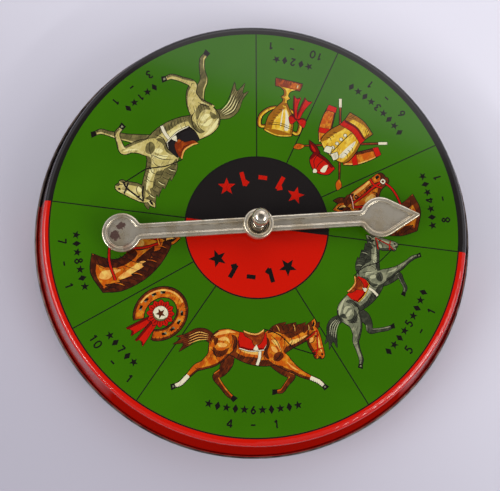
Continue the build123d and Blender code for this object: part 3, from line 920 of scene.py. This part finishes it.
def silks():
    """Racing colours with no one in them: a jacket, a cap above it and two crossed whips."""
    work = Drawing()
    for side in (-1, 1):
        whip = [(side * -17.5, -17.5), (side * -4, -3), (side * 13, 15.5)]
        work.add("line", pen(whip, 1.6, taper=0.75))
        work.add("chestnut", pen(whip, 0.8, taper=0.7))
        work.filled("bay", shape(
            (side * 13, 15.5), (side * 16.4, 17.4), (side * 16.2, 20.4), (side * 13.4, 18.6), steps=4
        ))
        work.filled("ivory", limb((side * -17.5, -17.5, 1.4), (side * -14.2, -14, 1.4)), 0.3)
    sleeves = [
        limb((side * 6.6, 5.6, 7), (side * 11.4, 0.8, 6.6), (side * 15.2, -6.2, 5.6), (side * 17.2, -11, 4.2))
        for side in (-1, 1)
    ]
    jacket = shape(
        (-3.4, 9.4, 1), (3.4, 9.4, 1), (8.8, 6.6), (9.2, -0.4), (7.4, -8.2), (8.4, -15.6, 1), (0, -17.2),
        (-8.4, -15.6, 1), (-7.4, -8.2), (-9.2, -0.4), (-8.8, 6.6),
    )
    for side, sleeve in zip((-1, 1), sleeves):
        work.filled("bay", sleeve, 0.6)
        work.band("bay_dark", sleeve, -70, 1.6, 0)
        work.band("bay_pale", sleeve, 110, 0.9, 0.3)
        work.hatch(sleeve, -60, 2, 1.1, 0.3)
        work.filled("red", limb((side * 16.2, -8.8, 5.2), (side * 17.4, -11.4, 4.4)), 0.4)
        work.filled("red", limb((side * 10, 2.6, 7), (side * 11.6, 0.4, 6.8)), 0.2)
    work.filled("yellow", jacket, 0.6)
    work.band("yellow_dark", jacket, -30, 3.2, 0.1)
    work.band("yellow_dark", jacket, 195, 1.4, 0.2)
    work.add("ivory", shape((-6.4, 5.4), (-4.2, 6.4), (-3.8, 0.6), (-4.6, -6), (-6, -2.6)))
    belt = work.filled("red", shape(
        (-7.6, -6.8, 1), (0, -8.4), (7.6, -6.8, 1), (7.6, -10.4, 1), (0, -12.2), (-7.6, -10.4, 1)
    ))
    work.band("red_dark", belt, -80, 1, 0.2)
    work.add("line", pen([(0, 9), (0.3, 0), (0, -8)], 0.4, taper=0.9))
    for y in (5.2, 2, -1.2, -4.4):
        work.filled("ivory", shape((0.6, y), (1.5, y + 0.9), (2.4, y), (1.5, y - 0.9), steps=4), 0.3)
    for side in (-1, 1):
        work.filled("ivory", shape(
            (side * 0.2, 8.8, 1), (side * 3.6, 10.2, 1), (side * 4.4, 7.2), (side * 1.8, 5.4, 1)
        ))
        for k in range(3):
            work.pens(
                (0.35, (side * (8.2 - k * 0.4), 3.8 - k * 2.2), (side * 6.4, 2.6 - k * 2.2),
                 (side * (4.4 + k * 0.5), 3.2 - k * 2.6)),
                (0.3, (side * (7.6 - k), -12.4), (side * (6.8 - k * 1.1), -14.2),
                 (side * (6.6 - k * 1.4), -16.4)),
            )
    crown = shape((-7.2, 13, 1), (-6.6, 18.2), (-0.6, 21.6), (5.6, 18.8), (6.8, 13.6, 1), (0, 12.4))
    peak = shape((4.6, 14.6, 1), (9.4, 14.4), (13.2, 11.4, 1), (8.6, 11.2), (4.4, 12.4, 1))
    work.edge(0.6, crown, peak)
    work.add("red", crown)
    work.add("red_dark", peak)
    work.add("red", shape((5.2, 14, 1), (8.8, 13.8), (11.2, 12.4, 1), (8.2, 12.6)))
    work.band("red_dark", crown, -40, 2, 0)
    work.pens(
        (0.4, (-0.6, 21.2), (-4.2, 17.4), (-4.6, 13.2)),
        (0.4, (-0.6, 21.2), (0.4, 17.4), (0.2, 12.8)),
        (0.4, (-0.6, 21.2), (3.6, 17.8), (4.6, 13.4)),
    )
    work.add("ivory", shape((-4.8, 18.2), (-2.6, 19.4), (-2.2, 16), (-3.4, 14.4)))
    work.filled("ivory", shape((-1.8, 21.2), (-0.6, 22.8), (0.6, 21.2), (-0.6, 20.4), steps=4), 0.3)
    return work


def round_line(count, across, along=None, start=0.0, end=360.0):
    """Points on an ellipse or an arc of one."""
    closed = end - start >= 360
    angles = np.radians(np.linspace(start, end, count + 1)[:-1] if closed else np.linspace(start, end, count))
    return np.stack([across * np.cos(angles), (along or across) * np.sin(angles)], 1)


def star(size, points=5):
    angles = pi / 2 + pi * np.arange(2 * points) / points
    radii = np.where(np.arange(2 * points) % 2 == 0, size, size * 0.42)
    return np.stack([radii * np.cos(angles), radii * np.sin(angles)], 1)


def horseshoe():
    """A horseshoe round a red rosette."""
    base, dark, pale = BAY
    work = Drawing()
    outer = round_line(60, 13.6, 15.2, -58, 238)
    inner = round_line(60, 8, 9.6, -58, 238)
    iron = np.concatenate([outer, inner[::-1]])
    work.filled(base, iron, 0.6)
    work.add(dark, np.concatenate([outer, (outer * 0.92)[::-1]]))
    work.add(pale, np.concatenate([(outer * 0.90)[26:52], (outer * 0.84)[26:52][::-1]]))
    work.add(dark, np.concatenate([(inner * 1.10)[:24], inner[:24][::-1]]))
    for angle in (-28, -4, 20, 44, 136, 160, 184, 208):
        out = np.array([cos(radians(angle)), sin(radians(angle))])
        along = np.array([-out[1], out[0]])
        middle = out * (10.6, 12.2)
        places = ((1.3, 0.7), (1.3, -0.7), (-1.3, -0.7), (-1.3, 0.7))
        corners = [middle + along * a + out * b for a, b in places]
        work.add("line", corners)
        work.add("grey", [corners[0], corners[1], (corners[1] + corners[2]) / 2])
    for k in range(14):
        tilt = radians(-50 + k * 9)
        rim = np.array([13.3 * cos(tilt), 14.9 * sin(tilt)])
        work.pens((0.3, rim, rim * 0.94, rim * 0.89))
    for side in (-1, 1):
        tail = work.filled("red", shape(
            (side * 2.6, -4, 1), (side * 6.6, -18.6, 1), (side * 3.6, -17.2), (side * 1.6, -19.4, 1),
            (side * -0.6, -5, 1),
        ))
        work.band("red_dark", tail, 180, 1.2, 0.1)
    ruffle = [point * (7.4 if k % 2 else 6.2) for k, point in enumerate(round_line(24, 1))]
    work.filled("red", smooth(ruffle, True, 4), 0.45)
    for k, point in enumerate(round_line(24, 1)):
        fold = (point * 3.6, point * 5.2, point * 6.6)
        work.add("red_dark" if k % 2 else "line", pen(fold, 0.5 if k % 2 else 0.3))
    centre = work.filled("ivory", round_line(24, 4), 0.35)
    work.band("cream_dark", centre, -60, 1, 0)
    work.add("bay_dark", star(2.9))
    return work


DIGITS = {
    "0": (
        ((0.5, 1.0), (0.22, 0.86), (0.1, 0.5), (0.22, 0.14), (0.5, 0.0), (0.78, 0.14), (0.9, 0.5),
         (0.78, 0.86), (0.5, 1.0)),
    ),
    "1": (((0.56, 1.0), (0.56, 0.0)), ((0.22, 0.72), (0.6, 0.98))),
    "2": (
        ((0.14, 0.74), (0.28, 0.95), (0.52, 1.0), (0.8, 0.78), (0.62, 0.46), (0.14, 0.02)),
        ((0.1, 0.0), (0.9, 0.0)),
    ),
    "3": (
        ((0.16, 0.86), (0.46, 1.0), (0.78, 0.8), (0.46, 0.56)),
        ((0.42, 0.56), (0.86, 0.28), (0.48, 0.0), (0.1, 0.16)),
    ),
    "4": (((0.7, 0.0), (0.7, 1.0)), ((0.7, 0.98), (0.06, 0.3)), ((0.02, 0.26), (0.96, 0.26))),
    "5": (
        ((0.84, 1.0), (0.28, 1.0)), ((0.3, 1.04), (0.22, 0.56)),
        ((0.22, 0.58), (0.54, 0.64), (0.86, 0.34), (0.5, 0.0), (0.1, 0.14)),
    ),
    "6": (((0.66, 1.0), (0.26, 0.56), (0.14, 0.26), (0.48, 0.0), (0.84, 0.28), (0.5, 0.56), (0.22, 0.4)),),
    "7": (((0.1, 1.0), (0.9, 1.0)), ((0.86, 1.02), (0.38, 0.0))),
    "8": (
        ((0.5, 0.55), (0.2, 0.78), (0.5, 1.0), (0.8, 0.78), (0.5, 0.55)),
        ((0.5, 0.55), (0.12, 0.28), (0.5, 0.0), (0.88, 0.28), (0.5, 0.55)),
    ),
    "-": (((0.12, 0.5), (0.88, 0.5)),),
}


def glyph(sign, height, weight, width=0.62):
    """A numeral or a small ornament about its own centre, as outlines."""
    if sign == "*":
        return [star(height * 0.5)]
    if sign == "+":
        return [np.array([(0, 0.5), (0.32, 0), (0, -0.5), (-0.32, 0)]) * height]
    outlines = []
    for line in DIGITS[sign]:
        path = [((x - 0.5) * height * width, (y - 0.5) * (height - weight), *rest) for x, y, *rest in line]
        outlines.append(thick_line(path, weight))
    return outlines


def thick_line(path, weight):
    """The outline of a line of even thickness with mitred corners and square ends."""
    centre = smooth(path, steps=6)
    keep = [0] + [i for i in range(1, len(centre)) if hypot(*(centre[i] - centre[i - 1])) > 1e-6]
    centre = centre[keep]
    runs = np.diff(centre, axis=0)
    runs /= np.hypot(runs[:, 0], runs[:, 1])[:, None]
    square = np.stack([runs[:, 1], -runs[:, 0]], 1)
    before = np.concatenate([square[:1], square])
    after = np.concatenate([square, square[-1:]])
    mitre = before + after
    mitre /= np.maximum(np.sum(mitre * after, axis=1), 0.35)[:, None]
    reach = mitre * weight / 2
    return np.concatenate([centre + reach, (centre - reach)[::-1]])


def row(signs, angle, radius, height, weight, pitch, colour="line"):
    """Signs along an arc of the dial, their feet towards the rim."""
    shapes = []
    for k, sign in enumerate(signs):
        if sign == " ":
            continue
        at = angle + degrees((k - (len(signs) - 1) / 2) * pitch / radius)
        one = Drawing()
        for outline in glyph(sign, height, weight):
            one.add(colour, outline)
        shapes += one.placed(radius, at)
    return shapes


# each picture with its place: millimetres from the print's centre, angle in degrees, and scale
CREAM_RUG = ("black", "line", "ivory")
BAY_RUG = ("red", "red_dark", "ivory")
PICTURES = {
    "cream_horse": horse(CREAM, CANTER, CREAM_RUG, "black").placed(62.0, 129.5, 0.90, bend=16),
    "prize_cup": cup().placed(63.5, 77.6, 0.84),
    "silks": silks().placed(61.5, 45.3, 0.95),
    "bay_head": horse_head(BAY).placed(61.0, 9.8, 0.86),
    "grey_horse": horse(GREY, GALLOP).placed(62.5, -32.7, 0.67, bend=24),
    "bay_horse": horse(BAY, GALLOP, BAY_RUG, socks="ivory").placed(60.5, -93.5, 0.78, bend=24),
    "horseshoe": horseshoe().placed(63.5, -137.4, 0.90),
    "chestnut_head": horse_head(("bay", "chestnut_dark", "bay_pale"), "red", "yellow").placed(
        61.0, -167.4, 0.90, mirror=True
    ),
}
# runner's number, the ornament before it and after it, the odds, and the angle of the sector's middle
SECTORS = (
    ("1", "+*", "3-1", 131.7), ("2", "*+", "10-1", 77.8), ("3", "+*+*", "6-1", 45.3),
    ("4", "*+*", "8-1", 9.2), ("5", "+*+*", "5-1", -32.5), ("6", "*+*+*", "4-1", -91.2),
    ("7", "*+", "10-1", -137.3), ("8", "*+*", "7-1", -168.5),
)
# rows of signs in millimetres: radius, height, weight of the line, and pitch from sign to sign
RUNNER_ROW = {"radius": 88.6, "height": 4.3, "weight": 0.75, "pitch": 4.3}
ODDS_ROW = {"radius": 95.6, "height": 4.6, "weight": 0.75, "pitch": 3.7}
HUB_ROW = {"radius": 25.2, "height": 9.2, "weight": 2.1, "pitch": 9.6}


# ---- the pictures and numbers as printed films ----

INKS = {
    "line": (24, 20, 18), "black": (34, 30, 30), "ivory": (232, 224, 190), "red": (200, 24, 8),
    "red_dark": (112, 8, 6), "bay": (196, 88, 12), "bay_dark": (84, 34, 12), "bay_pale": (232, 168, 80),
    "chestnut": (132, 48, 14), "chestnut_dark": (62, 24, 12), "cream": (200, 184, 108),
    "cream_dark": (104, 96, 56), "cream_pale": (238, 228, 160), "grey": (118, 120, 94),
    "grey_dark": (52, 54, 42), "grey_pale": (184, 184, 146), "yellow": (226, 180, 44),
    "yellow_dark": (160, 100, 16),
}
# the lighter and the darker crayon tone worked into an ink; the others are shaded from their own colour
INK_TONES = {
    "bay": ((226, 150, 36), (124, 42, 12)), "bay_pale": ((244, 210, 108), (204, 122, 40)),
    "bay_dark": ((126, 52, 16), (44, 18, 12)), "chestnut": ((186, 84, 20), (78, 26, 12)),
    "chestnut_dark": ((98, 40, 16), (38, 16, 10)), "cream": ((226, 212, 146), (132, 118, 72)),
    "cream_dark": ((140, 128, 78), (66, 60, 36)), "grey": ((162, 162, 126), (70, 72, 54)),
    "grey_dark": ((80, 82, 64), (32, 32, 28)), "yellow": ((244, 212, 90), (180, 116, 20)),
}
FILM_TOP = dial_level + 0.02 * MM
FILM_FOOT = dial_level - 0.01 * MM
CORNER_GRID = 0.01  # millimetres that an outline's corners are rounded to
SHORTEST_STEP = 0.03  # millimetres between two corners that both stay
SLIVER = 0.0003 * MM  # edges shorter than this are closed up
INK_MATERIALS = {}


def ink_material(name):
    """A printed ink with soft patches of its lighter tone and crayon hatching in its darker one."""
    if name not in INK_MATERIALS:
        film = Finish("ink_" + name)
        own = INKS[name]
        light, dark = INK_TONES.get(name, (own, tuple(channel * 0.8 for channel in own)))
        patch = film.noise(3.2 * MM, detail=3.0, seed=4.0).rise(0.46, 0.62)
        stroke = film.noise(0.42 * MM, detail=2.0, seed=7.0, place=film.stretched(7, 1, 1, turn=64))
        hatched = stroke.rise(0.5, 0.6) * film.noise(4.5 * MM, detail=3.0, seed=11.0).rise(0.42, 0.58)
        tint = film.blend(patch * 0.75, ink(*own), ink(*light))
        film.colour(film.blend(hatched * 0.75, tint, ink(*dark)))
        lacquer(film)
        INK_MATERIALS[name] = film.material
    return INK_MATERIALS[name]


def wound(points, outline):
    """Whether each point is inside an outline, which may cross itself."""
    x, y = points[:, :1], points[:, 1:]
    ax, ay = outline.T
    bx, by = np.roll(ax, -1), np.roll(ay, -1)
    left = (bx - ax) * (y - ay) - (x - ax) * (by - ay)
    turns = ((ay <= y) & (by > y) & (left > 0)).sum(1) - ((ay > y) & (by <= y) & (left < 0)).sum(1)
    return turns != 0


def film(name, shapes):
    """Prints shapes as one thin closed sheet, with each spot in the ink that was printed last."""
    corners, edges, outlines = [], [], []
    for colour, outline in shapes:
        outline = np.round(outline / CORNER_GRID) * CORNER_GRID
        step = np.hypot(*(outline - np.roll(outline, 1, 0)).T)
        outline = outline[step > SHORTEST_STEP]
        if len(outline) < 3:
            continue
        first = len(corners)
        count = len(outline)
        corners += [Vector(point) for point in outline]
        edges += [(first + k, first + (k + 1) % count) for k in range(count)]
        outlines.append((colour, outline))
    spots, _, faces, *_ = delaunay_2d_cdt(corners, edges, [], 0, 1e-4, False)
    places = np.array([tuple(spot) for spot in spots])
    faces = np.array([face for face in faces])
    middles = places[faces].mean(1)
    owner = np.full(len(faces), -1)
    for index, (colour, outline) in enumerate(outlines):
        low, high = outline.min(0), outline.max(0)
        near = np.flatnonzero(np.all((middles > low) & (middles < high), axis=1))
        owner[near[wound(middles[near], outline)]] = index

    inks = sorted({outlines[index][0] for index in owner if index >= 0})
    mesh = bmesh.new()
    shift = np.array(PRINT_CENTRE)
    corner = {}
    for face, index in zip(faces, owner):
        if index < 0:
            continue
        ring = []
        for k in face:
            if k not in corner:
                x, y = places[k] * MM + shift
                corner[k] = mesh.verts.new((x, y, FILM_TOP))
            ring.append(corner[k])
        mesh.faces.new(ring).material_index = inks.index(outlines[index][0])
    bmesh.ops.dissolve_limit(
        mesh, angle_limit=0.01, verts=mesh.verts, edges=mesh.edges, delimit={"MATERIAL"}
    )
    bmesh.ops.triangulate(mesh, faces=mesh.faces)
    bmesh.ops.dissolve_degenerate(mesh, dist=SLIVER, edges=mesh.edges)
    bmesh.ops.triangulate(mesh, faces=mesh.faces)
    # where two spots touch at one corner, each gets a corner of its own
    for vert in list(mesh.verts):
        rim = [edge for edge in vert.link_edges if edge.is_boundary]
        if len(rim) > 2:
            bmesh.utils.vert_separate(vert, rim)
    bmesh.ops.recalc_face_normals(mesh, faces=mesh.faces)
    if mesh.faces and sum(face.normal.z for face in mesh.faces) < 0:
        bmesh.ops.reverse_faces(mesh, faces=mesh.faces)
    foot = bmesh.ops.extrude_face_region(mesh, geom=list(mesh.faces), use_keep_orig=True)
    for item in foot["geom"]:
        if isinstance(item, bmesh.types.BMVert):
            item.co.z = FILM_FOOT
    bmesh.ops.recalc_face_normals(mesh, faces=mesh.faces)

    data = bpy.data.meshes.new(name)
    mesh.to_mesh(data)
    mesh.free()
    for colour in inks:
        data.materials.append(ink_material(colour))
    sheet = bpy.data.objects.new(name, data)
    bpy.context.scene.collection.objects.link(sheet)
    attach(sheet, "drum")


for picture, shapes in PICTURES.items():
    film("print_" + picture, shapes)
for number, ornament, odds, angle in SECTORS:
    film("print_runner_" + number, row(ornament + number + ornament[::-1], angle, **RUNNER_ROW))
    film("print_odds_" + number, row(odds.replace("-", "  -  "), angle, **ODDS_ROW))
film("print_hub_red", row("*1-1*", SPLIT_ANGLE + 90, colour="red", **HUB_ROW))
film("print_hub_black", row("*1-1*", SPLIT_ANGLE - 90, **HUB_ROW))


# ---- floor, light and camera ----


FLOOR_REACH = 2.0
FLOOR_DROP = 0.05 * MM  # below the foot
FLOOR_PAINTED_SHADE = ink(184, 181, 192)  # painted shade: the floor's colour at the near left
FLOOR_PAINTED_LIGHT = ink(240, 238, 247)  # painted light: the floor's colour at the far right
DRUM_COVERS = (0.108, 0.110)  # radius of the floor under the drum, which lets light through from below


def floor():
    """A cloth-grey floor with painted light, darker at the near left and paler at the far right, that lets
    the view through from below.
    """
    mesh = bpy.data.meshes.new("floor")
    reach = FLOOR_REACH
    level = cad_low.z - FLOOR_DROP
    corners = [(-reach, -reach, level), (reach, -reach, level), (reach, reach, level), (-reach, reach, level)]
    mesh.from_pydata(corners, [], [(0, 1, 2, 3)])
    table_top = bpy.data.objects.new("floor", mesh)
    bpy.context.scene.collection.objects.link(table_top)
    finish = Finish("floor_cloth")
    x, y, _ = finish.axes()
    # painted light and shade: the colour runs from dark at the near left to pale at the far right
    finish.colour(finish.blend((x * 0.8 + y).rise(-0.26, 0.26), FLOOR_PAINTED_SHADE, FLOOR_PAINTED_LIGHT))
    finish.set("Roughness", 0.9)
    finish.set("Specular IOR Level", 0.1)
    geometry = finish.tree.nodes.new("ShaderNodeNewGeometry")
    rays = finish.tree.nodes.new("ShaderNodeLightPath")
    below = Field(finish.tree, geometry.outputs["Backfacing"])
    seen_below = below * Field(finish.tree, rays.outputs["Is Camera Ray"])
    covered = (x * x + y * y).root().fall(*DRUM_COVERS)
    finish.set("Alpha", 1.0 - seen_below.most(covered))
    mesh.materials.append(finish.material)


WHITE = (1.0, 1.0, 1.0)
WINDOW_TINT = (1.0, 0.97, 1.0)
LAMP_TARGET = (0, 0, 0.02)
# each lamp's place, width and height in metres, its radiance and its colour
# the two lines give the rim's sharp reflections
LAMPS = {
    "window": ((0.20, 0.64, 0.66), 0.84, 0.70, 1.0, WINDOW_TINT),
    "left_glow": ((-1.28, -0.23, 0.77), 1.12, 0.64, 3.0, WHITE),
    "left_line": ((-1.10, -0.38, 0.60), 1.12, 0.02, 60.0, WHITE),
    "right_glow": ((0.84, -0.54, 0.62), 0.75, 0.52, 3.1, WHITE),
    "right_line": ((0.78, -0.75, 0.50), 0.75, 0.02, 50.0, WHITE),
}


def panel(name, place, width, height, radiance, colour):
    """A soft rectangular lamp at place, facing the dial."""
    lamp = bpy.data.lights.new(name, "AREA")
    lamp.shape = "RECTANGLE"
    lamp.size = width
    lamp.size_y = height
    lamp.energy = radiance * pi * width * height
    lamp.color = colour
    holder = bpy.data.objects.new(name, lamp)
    holder.location = place
    holder.rotation_euler = (Vector(LAMP_TARGET) - Vector(place)).to_track_quat("-Z", "Y").to_euler()
    bpy.context.scene.collection.objects.link(holder)


# the room's brightness by direction
ROOM_ZENITH = 0.07  # overhead, where the dial mirrors the room
ROOM_LOW = 0.3  # near the floor
ROOM_SIDE = 0.86  # halfway up
ROOM_BELOW = 1.0  # shows the inside when the object is seen from below
ROOM_CROWN = (0.66, 0.92)  # heights between which the side gives way to the zenith
ROOM_RISE = (0.0, 0.8)  # how far beyond the dial the extra light sets in
ROOM_MORE = 0.15  # the extra light beyond the dial
ROOM_TINT = (0.93, 0.92, 1.0, 1)
ROOM_SEEN = 0.9  # brightness that the camera itself sees


def room():
    """The room's own light: paler beyond the dial than over it, and pale behind the object."""
    world = bpy.data.worlds.new("room")
    world.use_nodes = True
    tree = world.node_tree
    background = tree.nodes["Background"]
    coordinates = tree.nodes.new("ShaderNodeTexCoord")
    parts = tree.nodes.new("ShaderNodeSeparateXYZ")
    tree.links.new(coordinates.outputs["Generated"], parts.inputs[0])
    across, beyond, above = [Field(tree, output) for output in parts.outputs]
    around = above.fall(*ROOM_CROWN) * above.rise(0.1, 0.5) * (ROOM_SIDE - ROOM_LOW) + ROOM_LOW
    around = around * beyond.rise(-0.8, 0.3) * 0.5 + around * 0.5
    strength = around + (beyond + across * 0.6).rise(*ROOM_RISE) * above.fall(0.75, 0.90) * ROOM_MORE
    strength = strength * above.fall(*ROOM_CROWN) + above.rise(*ROOM_CROWN) * ROOM_ZENITH
    strength = strength + above.fall(-0.3, -0.1) * ROOM_BELOW
    rays = tree.nodes.new("ShaderNodeLightPath")
    seen = Field(tree, rays.outputs["Is Camera Ray"])
    background.inputs["Color"].default_value = ROOM_TINT
    feed(tree, strength * (1.0 - seen) + seen * ROOM_SEEN, background.inputs["Strength"])
    bpy.context.scene.world = world


# the camera as fitted to the photograph's rings, moved 0.6 mm to the left
CAMERA_PLACE = Vector((-18.92, -54.60, 328.69)) * MM
CAMERA_AIM = Vector((-3.80, -9.60, 22.5)) * MM
LENS_LENGTH = 45.17
SENSOR_WIDTH = 36.0
CLIP_START = 0.01
CLIP_END = 20.0


def camera():
    """The photograph's view: from above, a little to the left and towards the player."""
    back = (CAMERA_PLACE - CAMERA_AIM).normalized()
    right = Vector((0, 1, 0)).cross(back).normalized()
    up = back.cross(right)
    lens = bpy.data.cameras.new("camera")
    lens.lens = LENS_LENGTH
    lens.sensor_width = SENSOR_WIDTH
    lens.clip_start = CLIP_START
    lens.clip_end = CLIP_END
    viewer = bpy.data.objects.new("camera", lens)
    viewer.matrix_world = Matrix.Translation(CAMERA_PLACE) @ Matrix((right, up, back)).transposed().to_4x4()
    bpy.context.scene.collection.objects.link(viewer)
    bpy.context.scene.camera = viewer


floor()
for lamp_name, settings in LAMPS.items():
    panel(lamp_name, *settings)
room()
camera()
bpy.context.scene.view_settings.view_transform = "Standard"
